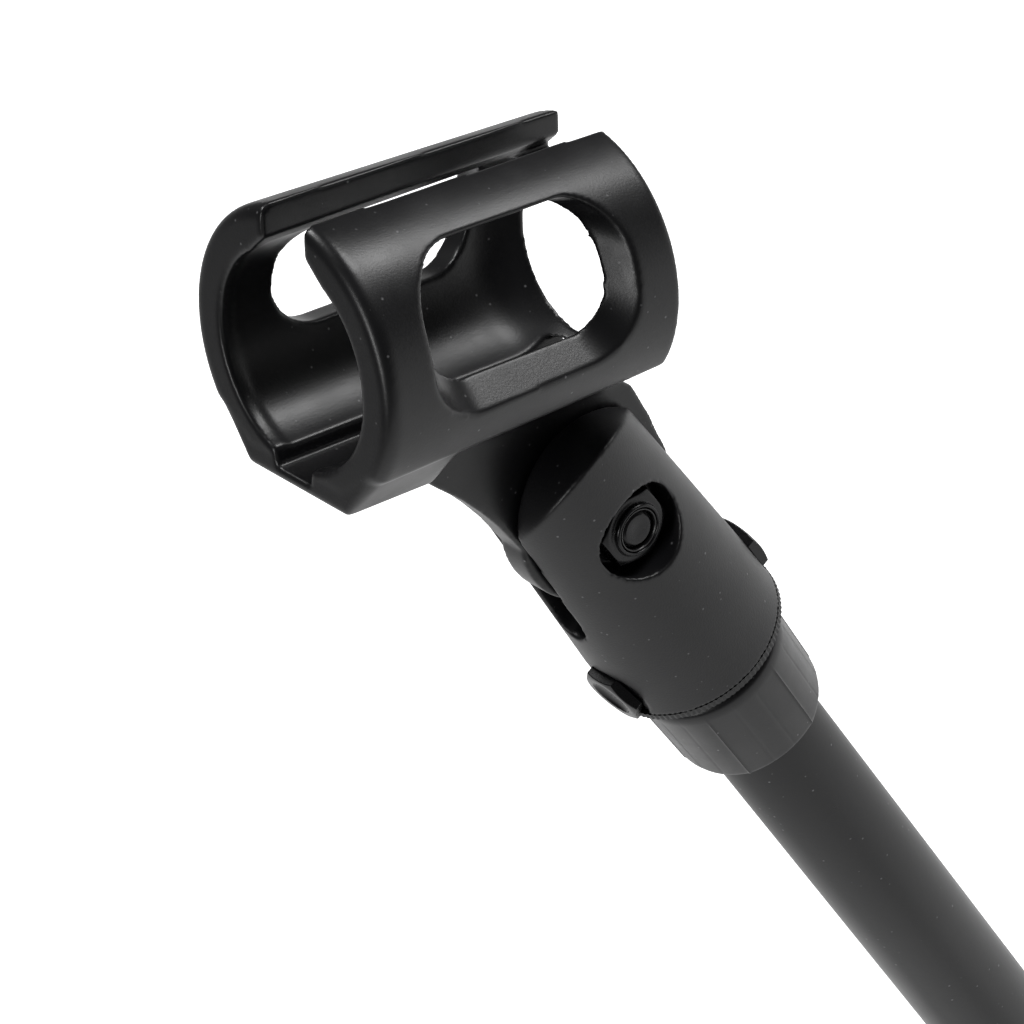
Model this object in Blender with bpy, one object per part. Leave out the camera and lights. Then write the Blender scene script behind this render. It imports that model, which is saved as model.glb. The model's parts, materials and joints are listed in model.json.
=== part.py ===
"""Microphone clip on a swivel barrel, with its lock ring and the top of a stand tube.

Metres, +Z up the stand tube. The origin is the centre of the tube's lower end.
The clip tilts about an axis along Y, and its wide mouth faces -X and up.
"""
import math

import bmesh
import bpy
from mathutils import Matrix, Vector

MM = 0.001
GAP = 0.3                       # clearance between neighbouring pieces, mm
ROUND = 56                      # sides of the large turned pieces
SMALL = 28                      # sides of bolts, washers and bores

# Driving dimensions, millimetres
TUBE_RADIUS = 8.0               # 16 mm stand tube
TUBE_WALL = 1.0
TUBE_TOP = 132.0
PLUG_LIP = 2.0                  # the end plug's lip below the tube
RIM_Z = 140.0                   # lower rim of the swivel barrel
THREAD_RADIUS = 7.9             # 5/8 inch microphone thread, as a plain cylinder

BARREL_RIM_RADIUS = 13.0
BARREL_TAPER = 0.047            # radius lost per millimetre of height
HINGE_RISE = 30.5               # hinge axis above the rim
EAR_ARC_RADIUS = 12.1           # round top of the two ears
EAR_ARC_RISE = 2.55             # centre of that arc above the hinge
SLOT_HALF = 2.85
SLOT_FLOOR = 16.3               # bottom of the slot above the rim
COUNTERBORE_RADIUS = 6.2
COUNTERBORE_FLOOR = 5.4         # distance of its floor from the middle plane
BOLT_RADIUS = 2.45              # M5
BOLT_HOLE = 2.8
BOLT_END = 9.9                  # threaded end of the bolt from the middle plane
WASHER_THICKNESS = 0.8
WASHER_RADIUS = 5.4
NUT_FLATS = 9.0
HEX_FLATS = 8.0                 # across the flats of nut, bolt head and screws

CLIP_TILT = math.radians(33.7)  # clip axis above the level, as set
CLIP_AXIS_RISE = 34.1           # clip axis above the hinge
CLIP_LENGTH = 44.0
CLIP_FRONT_RADIUS = 18.7
CLIP_REAR_RADIUS = 17.7
CLIP_REAR = -0.5                # its rear end, just behind the hinge's foot point
BORE_RADIUS = 13.7
BORE_LIP_RADIUS = 11.0          # the bore narrows to this at the rear end
BORE_LIP_RUN = 7.5
JAW_GAP_HALF = 3.9
PAD_HALF = 8.8                  # where the flanks end under the clip
SOLE_HALF = 9.1                 # flat foot under its wide end
PAD_DEPTH = 16.9                # its face below the clip axis
FLANK_DEPTH = 13.8
FOOT_START = 31.0               # the foot begins this far along the clip
TONGUE_HALF = 2.3
TONGUE_RADIUS = 12.2

RING_TOP = -2.6                 # from the barrel rim
RING_BOTTOM = -18.7
RING_RADIUS = 10.95
FLUTES = 6
FLUTE_DEPTH = 0.25


def clear_scene():
    for item in list(bpy.data.objects):
        bpy.data.objects.remove(item, do_unlink=True)


def make_material(name, colour, roughness, metallic=0.0):
    material = bpy.data.materials.new(name)
    material.use_nodes = True
    shader = material.node_tree.nodes["Principled BSDF"]
    shader.inputs["Base Color"].default_value = (*colour, 1.0)
    shader.inputs["Roughness"].default_value = roughness
    shader.inputs["Metallic"].default_value = metallic
    material.diffuse_color = (*colour, 1.0)
    return material


def add_object(name, bm, material=None, parent=None):
    bmesh.ops.recalc_face_normals(bm, faces=bm.faces[:])
    mesh = bpy.data.meshes.new(name)
    bm.to_mesh(mesh)
    bm.free()
    mesh.shade_smooth()
    mesh.set_sharp_from_angle(angle=math.radians(35))
    item = bpy.data.objects.new(name, mesh)
    bpy.context.scene.collection.objects.link(item)
    item.parent = parent
    if material is not None:
        mesh.materials.append(material)
    return item


def add_empty(name, z, tilt=0.0):
    empty = bpy.data.objects.new(name, None)
    bpy.context.scene.collection.objects.link(empty)
    empty.location = (0.0, 0.0, z * MM)
    empty.rotation_euler = (0.0, tilt, 0.0)
    return empty


def loft(sections):
    """Closed solid through loops of equal length, capped at both ends."""
    bm = bmesh.new()
    rings = []
    for section in sections:
        rings.append([bm.verts.new(Vector(point) * MM) for point in section])
    count = len(rings[0])
    for lower, upper in zip(rings, rings[1:]):
        for index in range(count):
            after = (index + 1) % count
            bm.faces.new((lower[index], lower[after], upper[after], upper[index]))
    bm.faces.new(rings[0])
    bm.faces.new(rings[-1])
    return bm


def turned(profile, sides):
    """Solid of revolution about Z from closed (radius, z) points."""
    bm = bmesh.new()
    points = [bm.verts.new((radius * MM, 0.0, z * MM)) for radius, z in profile]
    edges = [bm.edges.new((a, b)) for a, b in zip(points, points[1:] + points[:1])]
    bmesh.ops.spin(
        bm, geom=points + edges, cent=(0, 0, 0), axis=(0, 0, 1),
        angle=math.tau, steps=sides, use_merge=True,
    )
    bmesh.ops.remove_doubles(bm, verts=bm.verts[:], dist=0.00001)
    return bm


def tube_profile(inner, outer, low, high, chamfer=0.0):
    return [
        (inner, low), (outer - chamfer, low), (outer, low + chamfer),
        (outer, high - chamfer), (outer - chamfer, high), (inner, high),
    ] if chamfer else [(inner, low), (outer, low), (outer, high), (inner, high)]


def circle_xy(radius, z, sides, turn=0.0):
    step = math.tau / sides
    return [
        (radius * math.cos(turn + i * step), radius * math.sin(turn + i * step), z)
        for i in range(sides)
    ]


def rod(sections, sides, turn=0.0):
    """Solid round rod about Z through (radius, z) sections."""
    return loft([circle_xy(radius, z, sides, turn) for radius, z in sections])


def along_y(bm, side=1):
    """Turn a Z shape so that +Z becomes +Y (side 1) or -Y (side -1)."""
    angle = -math.pi / 2 * side
    bmesh.ops.rotate(bm, verts=bm.verts[:], cent=(0, 0, 0),
                     matrix=Matrix.Rotation(angle, 3, "X"))
    return bm


def along_x(bm, side=1):
    bmesh.ops.rotate(bm, verts=bm.verts[:], cent=(0, 0, 0),
                     matrix=Matrix.Rotation(math.pi / 2 * side, 3, "Y"))
    return bm


def shift(bm, x=0.0, y=0.0, z=0.0):
    bmesh.ops.translate(bm, verts=bm.verts[:], vec=Vector((x, y, z)) * MM)
    return bm


def prism_y(outline, low, high):
    """Outline of (x, z) points extruded along Y."""
    return loft([[(x, low, z) for x, z in outline], [(x, high, z) for x, z in outline]])


def combine(target, operation, bm, parent):
    """Boolean of the target with a hidden helper solid."""
    count = len([m for m in target.modifiers if m.type == "BOOLEAN"])
    helper = add_object(f"{target.name}_helper_{count}", bm, None, parent)
    helper.hide_render = True
    helper.display_type = "WIRE"
    modifier = target.modifiers.new(f"{operation.lower()}_{count}", "BOOLEAN")
    modifier.operation = operation
    modifier.solver = "EXACT"
    modifier.object = helper


def arc(centre, radius, start, end, steps):
    """Points (x, z) along an arc, angles in degrees."""
    points = []
    for i in range(steps + 1):
        angle = math.radians(start + (end - start) * i / steps)
        points.append((centre[0] + radius * math.cos(angle),
                       centre[1] + radius * math.sin(angle)))
    return points


def build_tube(steel, black_steel, plastic):
    inner = TUBE_RADIUS - TUBE_WALL
    base = add_empty("tube_frame", 0.0)
    tube = add_object(
        "stand_tube",
        turned(tube_profile(inner, TUBE_RADIUS, PLUG_LIP + GAP, TUBE_TOP, 0.3), ROUND),
        black_steel, base)
    pin_z = TUBE_TOP - 6.5
    pin_radius = 1.25
    combine(tube, "DIFFERENCE",
            shift(along_x(rod([(pin_radius + GAP, -9.0), (pin_radius + GAP, 9.0)], SMALL)),
                  z=pin_z), base)

    body = inner - GAP
    stud = add_object("threaded_stud", rod([
        (body, TUBE_TOP - 22.0), (body, TUBE_TOP + GAP),
        (THREAD_RADIUS, TUBE_TOP + GAP + 0.5), (THREAD_RADIUS, RIM_Z + 9.6),
        (THREAD_RADIUS - 0.8, RIM_Z + 10.4),
    ], ROUND), steel, base)
    combine(stud, "DIFFERENCE",
            shift(along_x(rod([(pin_radius + GAP, -9.0), (pin_radius + GAP, 9.0)], SMALL)),
                  z=pin_z), base)
    add_object("stud_pin",
               shift(along_x(rod([(pin_radius, -7.8), (pin_radius, 7.8)], SMALL)), z=pin_z),
               steel, base)

    add_object("tube_end_plug", rod([
        (TUBE_RADIUS - 0.4, 0.0), (TUBE_RADIUS, 0.4), (TUBE_RADIUS, PLUG_LIP - 0.01),
        (inner - GAP, PLUG_LIP), (inner - GAP, 12.0), (inner - 1.3, 13.0),
    ], ROUND), plastic, base)


def ring_outline(radius, z):
    """Round outline with shallow hollows between narrow ribs."""
    points = []
    for i in range(FLUTES * 12):
        share = (i % 12) / 12.0
        hollow = FLUTE_DEPTH * math.sin(math.pi * share) ** 0.5
        angle = math.radians(14.0 - 90.0) + math.tau * i / (FLUTES * 12)
        reach = radius - hollow
        points.append((reach * math.cos(angle), reach * math.sin(angle), z))
    return points


def build_ring(steel, plastic):
    frame = add_empty("ring_frame", RIM_Z)
    ring = add_object("lock_ring", loft([
        ring_outline(RING_RADIUS - 0.9, RING_BOTTOM),
        ring_outline(RING_RADIUS - 0.2, RING_BOTTOM + 0.8),
        ring_outline(RING_RADIUS, RING_TOP - 1.3),
        ring_outline(RING_RADIUS - 0.9, RING_TOP - 0.3),
        ring_outline(RING_RADIUS - 1.1, RING_TOP),
    ]), plastic, frame)
    shoulder = RING_TOP - 5.0
    combine(ring, "DIFFERENCE",
            rod([(TUBE_RADIUS + 0.4, RING_BOTTOM - 1), (TUBE_RADIUS + 0.4, RING_TOP + 1)],
                ROUND), frame)
    combine(ring, "DIFFERENCE",
            rod([(9.3, shoulder), (9.3, RING_TOP + 1)], ROUND), frame)
    add_object("ring_thread_insert",
               turned(tube_profile(THREAD_RADIUS + GAP, 9.0, shoulder + GAP, RING_TOP - 0.4),
                      ROUND), steel, frame)


def barrel_radius(height):
    return BARREL_RIM_RADIUS - BARREL_TAPER * height


def build_barrel(steel, zinc, nylon, plastic):
    frame = add_empty("barrel_frame", RIM_Z)
    top = HINGE_RISE + 16.0
    barrel = add_object("swivel_barrel", rod([
        (barrel_radius(0) - 0.3, 0.0), (barrel_radius(0), 0.3), (barrel_radius(top), top),
    ], ROUND), plastic, frame)

    arc_z = HINGE_RISE + EAR_ARC_RISE
    arch = [(-14.0, -1.0), (14.0, -1.0), (14.0, arc_z)]
    arch += arc((0.0, arc_z), EAR_ARC_RADIUS, 0, 180, 32)
    arch += [(-14.0, arc_z)]
    combine(barrel, "INTERSECT", prism_y(arch, -15.0, 15.0), frame)

    slot_round = SLOT_FLOOR + SLOT_HALF
    slot = [(-SLOT_HALF, top + 2), (-SLOT_HALF, slot_round)]
    slot += arc((0.0, slot_round), SLOT_HALF, 180, 360, 12)[1:]
    slot += [(SLOT_HALF, top + 2)]
    combine(barrel, "DIFFERENCE",
            loft([[(x, y, z) for y, z in slot] for x in (-15.0, 15.0)]), frame)

    for side in (-1, 1):
        bore = rod([(COUNTERBORE_RADIUS, COUNTERBORE_FLOOR), (COUNTERBORE_RADIUS, 15.0)], 40)
        combine(barrel, "DIFFERENCE", shift(along_y(bore, side), z=HINGE_RISE), frame)
    combine(barrel, "DIFFERENCE",
            shift(along_y(rod([(BOLT_HOLE, -8.0), (BOLT_HOLE, 8.0)], SMALL)), z=HINGE_RISE),
            frame)

    insert_radius = 10.2
    insert_depth = 11.4
    combine(barrel, "DIFFERENCE",
            rod([(insert_radius + GAP, -1.0), (insert_radius + GAP, insert_depth + GAP)],
                ROUND), frame)

    screw_z = 4.0
    screw_radius = 1.9
    seat = 11.8
    head_face = 13.6
    insert = add_object("thread_insert",
                        turned(tube_profile(THREAD_RADIUS + GAP, insert_radius, -1.2,
                                            insert_depth, 0.4), ROUND), zinc, frame)
    for side, turn, name in ((-1, 0.0, "insert_screw_left"), (1, math.pi / 6, "insert_screw_right")):
        hole = rod([(screw_radius + GAP, 6.0), (screw_radius + GAP, 15.0)], SMALL)
        combine(insert, "DIFFERENCE", shift(along_x(hole, side), z=screw_z), frame)
        hole = rod([(screw_radius + GAP, 7.0), (screw_radius + GAP, 15.0)], SMALL)
        combine(barrel, "DIFFERENCE", shift(along_x(hole, side), z=screw_z), frame)
        spot = rod([(5.0, seat), (5.0, 15.0)], SMALL)
        combine(barrel, "DIFFERENCE", shift(along_x(spot, side), z=screw_z), frame)
        screw = add_object(name, shift(along_x(hex_screw(
            screw_radius, 8.4, seat + GAP, head_face, HEX_FLATS, turn), side), z=screw_z),
            steel, frame)
        socket = rod([(2.0, head_face - 0.5), (2.6, head_face + 0.1)], 6, turn)
        combine(screw, "DIFFERENCE", shift(along_x(socket, side), z=screw_z), frame)

    build_pivot(steel, nylon, frame)
    return frame


def hex_screw(shank, start, seat, face, across_flats, turn):
    """Screw along Z: a round shank, then a six-sided head."""
    corner = across_flats / math.sqrt(3)
    bm = rod([(shank, start), (shank, seat + 0.5)], SMALL)
    sides = len(bm.faces) - 2
    top = max(bm.faces, key=lambda face_: face_.calc_center_median().z)
    bm.faces.remove(top)
    rim = [v for v in bm.verts if v.co.z > (seat + 0.4) * MM]
    bmesh.ops.translate(bm, verts=rim, vec=(0, 0, -0.5 * MM))
    rings = []
    for reach, z in ((corner, seat), (corner, face - 0.5), (corner - 0.45, face)):
        step = math.tau / SMALL
        ring = []
        for i in range(sides):
            angle = i * step
            limit = across_flats / 2 / math.cos((angle - turn) % (math.pi / 3) - math.pi / 6)
            radius = min(limit, reach)
            ring.append(bm.verts.new((radius * math.cos(angle) * MM,
                                      radius * math.sin(angle) * MM, z * MM)))
        rings.append(ring)
    rim.sort(key=lambda v: math.atan2(v.co.y, v.co.x) % math.tau)
    for lower, upper in zip([rim] + rings, rings):
        for i in range(sides):
            after = (i + 1) % sides
            bm.faces.new((lower[i], lower[after], upper[after], upper[i]))
    bm.faces.new(rings[-1])
    return bm


def hex_nut(across_flats, hole, low, high, collar_radius, collar_top):
    """Lock nut along Z: six flats, then a round collar, bored through."""
    count = 36
    step = math.tau / count
    corner = across_flats / math.sqrt(3)
    recess = collar_radius - 0.55

    def hex_loop(reach, z):
        loop = []
        for i in range(count):
            angle = i * step
            flat = across_flats / 2 / math.cos(angle % (math.pi / 3) - math.pi / 6)
            radius = min(flat, reach)
            loop.append((radius * math.cos(angle), radius * math.sin(angle), z))
        return loop

    return loft([
        circle_xy(hole, low, count), hex_loop(corner - 0.3, low), hex_loop(corner, low + 0.3),
        hex_loop(corner, high - 0.6), hex_loop(corner - 0.6, high),
        circle_xy(collar_radius, high, count), circle_xy(collar_radius, collar_top - 0.3, count),
        circle_xy(collar_radius - 0.3, collar_top, count),
        circle_xy(recess, collar_top, count), circle_xy(recess, high - 0.5, count),
        circle_xy(hole, high - 0.5, count),
        circle_xy(hole, low, count),
    ])


def build_pivot(steel, nylon, frame):
    """Bolt, lock nut and washers through the two ears."""
    washer_low = COUNTERBORE_FLOOR + GAP
    washer_high = washer_low + WASHER_THICKNESS
    seat = washer_high + GAP
    head_face = seat + 2.9
    bolt_end = BOLT_END
    # The bolt runs from -Y to +Y and its head is on the +Y side.
    bolt = hex_screw(BOLT_RADIUS, -bolt_end, seat, head_face, NUT_FLATS, 0.0)
    low = min(v.co.z for v in bolt.verts)
    tip = [v for v in bolt.verts if v.co.z < low + 0.00001]
    bmesh.ops.scale(bolt, verts=tip, vec=(0.84, 0.84, 1.0))
    collar = [e for e in bolt.edges if len({round(v.co.z, 6) for v in e.verts}) == 2
              and min(v.co.z for v in e.verts) < low + 0.00001]
    bmesh.ops.bisect_edges(bolt, edges=collar, cuts=1)
    middle = [v for v in bolt.verts if low + 0.00001 < v.co.z < (seat - 0.01) * MM]
    for vert in middle:
        reach = math.hypot(vert.co.x, vert.co.y)
        vert.co.x *= BOLT_RADIUS * MM / reach
        vert.co.y *= BOLT_RADIUS * MM / reach
        vert.co.z = low + 0.5 * MM
    bolt_object = add_object("pivot_bolt", shift(along_y(bolt, 1), z=HINGE_RISE), steel, frame)
    socket = rod([(2.2, head_face - 1.6), (2.4, head_face + 0.1)], 6)
    combine(bolt_object, "DIFFERENCE", shift(along_y(socket, 1), z=HINGE_RISE), frame)

    for side, name in ((-1, "nut_washer"), (1, "head_washer")):
        washer = turned(tube_profile(BOLT_HOLE, WASHER_RADIUS, washer_low, washer_high, 0.15), 36)
        add_object(name, shift(along_y(washer, side), z=HINGE_RISE), steel, frame)

    nut_top = seat + 2.6
    collar_top = nut_top + 0.8
    nut = hex_nut(NUT_FLATS, BOLT_RADIUS + GAP, seat, nut_top, 3.5, collar_top)
    bmesh.ops.remove_doubles(nut, verts=nut.verts[:], dist=0.00001)
    stray = [f for f in nut.faces if len(f.verts) > 8]
    bmesh.ops.delete(nut, geom=stray, context="FACES")
    add_object("pivot_nut", shift(along_y(nut, -1), z=HINGE_RISE), steel, frame)
    nylon_ring = turned(tube_profile(BOLT_RADIUS + 0.15, BOLT_RADIUS + 0.4, nut_top - 0.2,
                                     collar_top - 0.15), 36)
    add_object("nut_nylon_ring", shift(along_y(nylon_ring, -1), z=HINGE_RISE), nylon, frame)


def clip_section(radius, run, inset=0.0):
    """Outline of the clip across its axis: round, with straight flanks below."""
    reach = radius - inset
    lower = math.radians(-33.0)
    steps = 40
    points = []
    for i in range(steps + 1):
        angle = lower + (math.pi - 2 * lower) * i / steps
        points.append((-run, reach * math.cos(angle), CLIP_AXIS_RISE + reach * math.sin(angle)))
    for side in (-1, 1):
        points.append((-run, side * (PAD_HALF - inset), CLIP_AXIS_RISE - FLANK_DEPTH + inset))
    return points


def clip_radius(run):
    return CLIP_REAR_RADIUS + (CLIP_FRONT_RADIUS - CLIP_REAR_RADIUS) * run / CLIP_LENGTH


def rounded_box(low_u, high_u, low_w, high_w, corners, steps=8):
    """Outline (run, height) of a window; corners are high-high, low-high, low-low, high-low."""
    outline = []
    signs = ((-1, -1), (1, -1), (1, 1), (-1, 1))
    points = ((high_u, high_w), (low_u, high_w), (low_u, low_w), (high_u, low_w))
    for index, (corner, sign, point) in enumerate(zip(corners, signs, points)):
        centre = (point[0] + sign[0] * corner, point[1] + sign[1] * corner)
        outline += arc(centre, corner, index * 90, index * 90 + 90, steps)
    return outline


def window_cutter(outer, inner, side):
    """Ruled cutter from an outline on the outer surface to one on the bore."""
    outer_radius, inner_radius = 18.2, BORE_RADIUS
    far_y, near_y = 24.0, 5.0
    sections = [[], []]
    for (outer_u, outer_w), (inner_u, inner_w) in zip(outer, inner):
        outer_y = math.sqrt(outer_radius ** 2 - outer_w ** 2)
        inner_y = math.sqrt(inner_radius ** 2 - inner_w ** 2)
        for section, y in zip(sections, (far_y, near_y)):
            share = (y - inner_y) / (outer_y - inner_y)
            u = inner_u + share * (outer_u - inner_u)
            w = inner_w + share * (outer_w - inner_w)
            section.append((-u, side * y, CLIP_AXIS_RISE + w))
    return loft(sections)


def neck_outline():
    """Side view (run, height) of the neck and its round tongue."""
    front = [(13.2, -0.2), (15.4, 2.7), (18.0, 5.6), (21.0, 8.5), (24.4, 11.2), (27.8, 14.0),
             (31.0, 17.0), (31.0, 19.5)]
    rear = [(0.6, 19.5), (-0.4, 17.8), (-3.2, 16.9), (-6.0, 14.9), (-8.8, 9.9)]
    disc = arc((0.0, 0.0), TONGUE_RADIUS, 147, 352, 30)
    return front + rear + disc


def build_flare():
    """Neck top that widens in concave fillets to the clip's flanks."""
    low = 15.0
    high = CLIP_AXIS_RISE - FLANK_DEPTH + 0.1
    spread = PAD_HALF - TONGUE_HALF
    steps = 9
    sections = []
    for i in range(steps + 2):
        share = min(1.0, i / steps)
        height = low + (high - low) * share + (1.5 if i > steps else 0.0)
        half = TONGUE_HALF + spread * (1 - math.sqrt(1 - share ** 2)) - 0.02
        front = min(28.6 + (height - low) * 1.17, FOOT_START)
        rear = min(0.0, 5.1 * ((height - low) / 2.4) ** 2 - 5.1) + 0.03
        sections.append([(-front, -half, height), (-front, half, height),
                         (-rear, half, height), (-rear, -half, height)])
    return loft(sections)


def build_foot():
    """Flat foot under the wide end of the clip, its rear face leaning forward."""
    sole = -PAD_DEPTH
    buried = FOOT_START - 3.0
    sections = []
    lean = math.radians(-33.0)
    for run, reach, half, depth in ((buried, 16.2, SOLE_HALF - 0.6, -13.0),
                                    (FOOT_START, 18.2, SOLE_HALF, sole),
                                    (CLIP_LENGTH - 0.9, 18.3, SOLE_HALF, sole),
                                    (CLIP_LENGTH, 17.3, SOLE_HALF + 0.3, sole + 0.7)):
        shoulder = (reach * math.cos(lean), reach * math.sin(lean))
        right = [(12.5, -8.0), shoulder, (half, depth)]
        left = [(-y, w) for y, w in reversed(right)]
        sections.append([(-run, y, CLIP_AXIS_RISE + w) for y, w in right + left])
    return loft(sections)


def build_clip(plastic, fibre):
    frame = add_empty("clip_hinge", RIM_Z + HINGE_RISE, CLIP_TILT)
    end = CLIP_LENGTH
    clip = add_object("clip_shell", loft([
        clip_section(clip_radius(0), CLIP_REAR, 0.5),
        clip_section(clip_radius(0), CLIP_REAR + 0.4, 0.1),
        clip_section(clip_radius(1), CLIP_REAR + 1.0),
        clip_section(clip_radius(end - 1.8), end - 1.8),
        clip_section(clip_radius(end), end - 0.9, 0.15),
        clip_section(clip_radius(end), end - 0.3, 0.5),
        clip_section(clip_radius(end), end, 1.0),
    ]), plastic, frame)
    combine(clip, "UNION", build_flare(), frame)
    combine(clip, "UNION", build_foot(), frame)
    combine(clip, "UNION",
            prism_y([(-u, w) for u, w in neck_outline()], -TONGUE_HALF, TONGUE_HALF), frame)

    lip_rise = BORE_RADIUS - BORE_LIP_RADIUS
    bore_profile = [(CLIP_REAR - 2.0, BORE_LIP_RADIUS), (CLIP_REAR, BORE_LIP_RADIUS)]
    for share in (0.2, 0.4, 0.7, 1.0):
        bore_profile.append((CLIP_REAR + BORE_LIP_RUN * share,
                             BORE_LIP_RADIUS + lip_rise * math.sin(share * math.pi / 2)))
    bore_profile.append((end + 2.0, BORE_RADIUS))
    bore = loft([[(-u, r * math.cos(a), CLIP_AXIS_RISE + r * math.sin(a))
                  for a in (math.tau * i / 56 for i in range(56))]
                 for u, r in bore_profile])
    combine(clip, "DIFFERENCE", bore, frame)
    groove = [(-3.2, -12.0), (4.2, -12.0), (3.6, -15.1), (-2.6, -15.1)]
    combine(clip, "DIFFERENCE",
            loft([[(-u, y, CLIP_AXIS_RISE + w) for y, w in groove] for u in (-2.0, end + 2.0)]),
            frame)
    # the bore is relieved towards the gap
    gap = [(-6.6, 11.8), (6.6, 11.8), (JAW_GAP_HALF, 14.2), (JAW_GAP_HALF, 22.0),
           (-JAW_GAP_HALF, 22.0), (-JAW_GAP_HALF, 14.2)]
    combine(clip, "DIFFERENCE",
            loft([[(-u, y, CLIP_AXIS_RISE + w) for y, w in gap] for u in (-2.0, end + 2.0)]),
            frame)
    near_outer = rounded_box(5.4, 36.8, -4.8, 14.5, (7.5, 7.5, 7.5, 7.5))
    near_inner = rounded_box(8.1, 34.5, -1.6, 12.4, (5.5, 4.0, 5.5, 5.5))
    far_outer = rounded_box(5.6, 36.6, -4.8, 14.5, (7.5, 7.0, 7.0, 7.5))
    far_inner = rounded_box(6.4, 36.0, -3.9, 12.2, (6.5, 6.0, 6.0, 6.5))
    combine(clip, "DIFFERENCE", window_cutter(near_outer, near_inner, -1), frame)
    combine(clip, "DIFFERENCE", window_cutter(far_outer, far_inner, 1), frame)

    for side in (-1, 1):
        pocket = rod([(8.3, 1.6), (8.3, 6.0)], 40)
        combine(clip, "DIFFERENCE", along_y(pocket, side), frame)
    combine(clip, "DIFFERENCE", along_y(rod([(BOLT_HOLE, -4.0), (BOLT_HOLE, 4.0)], SMALL)), frame)

    for side, name in ((-1, "friction_washer_near"), (1, "friction_washer_far")):
        washer = turned(tube_profile(BOLT_HOLE + 0.1, 8.0, 1.6 + GAP, SLOT_HALF - GAP), 40)
        add_object(name, along_y(washer, side), fibre, frame)


def main():
    clear_scene()
    abs_black = make_material("black_abs", (0.012, 0.012, 0.013), 0.42)
    soft_black = make_material("black_moulding", (0.014, 0.014, 0.015), 0.5)
    powder = make_material("black_powder_coat", (0.010, 0.010, 0.011), 0.45, 0.0)
    black_steel = make_material("black_oxide_steel", (0.03, 0.03, 0.032), 0.35, 1.0)
    zinc = make_material("zinc_plated_steel", (0.62, 0.62, 0.60), 0.35, 1.0)
    nylon = make_material("black_nylon", (0.02, 0.02, 0.022), 0.5)
    fibre = make_material("red_brown_fibre", (0.16, 0.05, 0.03), 0.8)

    build_tube(zinc, powder, soft_black)
    build_ring(zinc, soft_black)
    build_barrel(black_steel, zinc, nylon, abs_black)
    build_clip(abs_black, fibre)


main()
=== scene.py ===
import json
import math

import bmesh
import bpy
from mathutils import Euler, Matrix, Vector


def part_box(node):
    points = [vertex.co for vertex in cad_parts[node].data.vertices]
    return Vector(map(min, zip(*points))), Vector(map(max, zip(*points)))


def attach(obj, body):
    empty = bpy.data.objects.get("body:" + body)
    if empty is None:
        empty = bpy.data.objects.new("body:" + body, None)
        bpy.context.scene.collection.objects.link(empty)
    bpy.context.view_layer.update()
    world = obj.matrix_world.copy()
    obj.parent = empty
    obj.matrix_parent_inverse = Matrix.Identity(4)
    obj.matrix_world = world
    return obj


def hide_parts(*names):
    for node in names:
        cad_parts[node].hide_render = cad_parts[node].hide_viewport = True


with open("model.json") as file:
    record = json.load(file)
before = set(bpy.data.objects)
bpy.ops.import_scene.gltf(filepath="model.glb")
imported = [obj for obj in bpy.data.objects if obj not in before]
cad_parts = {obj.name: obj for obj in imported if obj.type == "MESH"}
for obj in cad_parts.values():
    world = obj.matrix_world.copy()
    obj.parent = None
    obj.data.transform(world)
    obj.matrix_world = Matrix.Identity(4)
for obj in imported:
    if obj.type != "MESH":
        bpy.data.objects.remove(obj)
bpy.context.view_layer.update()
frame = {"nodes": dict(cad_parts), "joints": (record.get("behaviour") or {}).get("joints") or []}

mm = 0.001
joints = {joint["name"]: joint for joint in frame["joints"]}
hinge = Vector(joints["clip_tilt"]["pos_m"])
rim = Vector((0, 0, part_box("swivel_barrel")[0].z))
clipTilt = math.radians(33.7)
# the clip is modelled level round its hinge, mouth towards -X, then set at its tilt
intoClip = Matrix.Translation(hinge) @ Matrix.Rotation(clipTilt, 4, "Y")
intoBarrel = Matrix.Translation(rim)
intoPivot = Matrix.Translation(hinge)


def hexColour(code):
    channels = [int(code[i:i + 2], 16) / 255 for i in (0, 2, 4)]
    linear = [c / 12.92 if c <= 0.04045 else ((c + 0.055) / 1.055) ** 2.4 for c in channels]
    return (*linear, 1.0)


def addNode(material, kind, settings=None, links=None):
    node = material.node_tree.nodes.new(kind)
    for key, value in (settings or {}).items():
        if isinstance(key, int) or key in node.inputs:
            node.inputs[key].default_value = value
        else:
            setattr(node, key, value)
    for key, source in (links or {}).items():
        material.node_tree.links.new(source, node.inputs[key])
    return node


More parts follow.
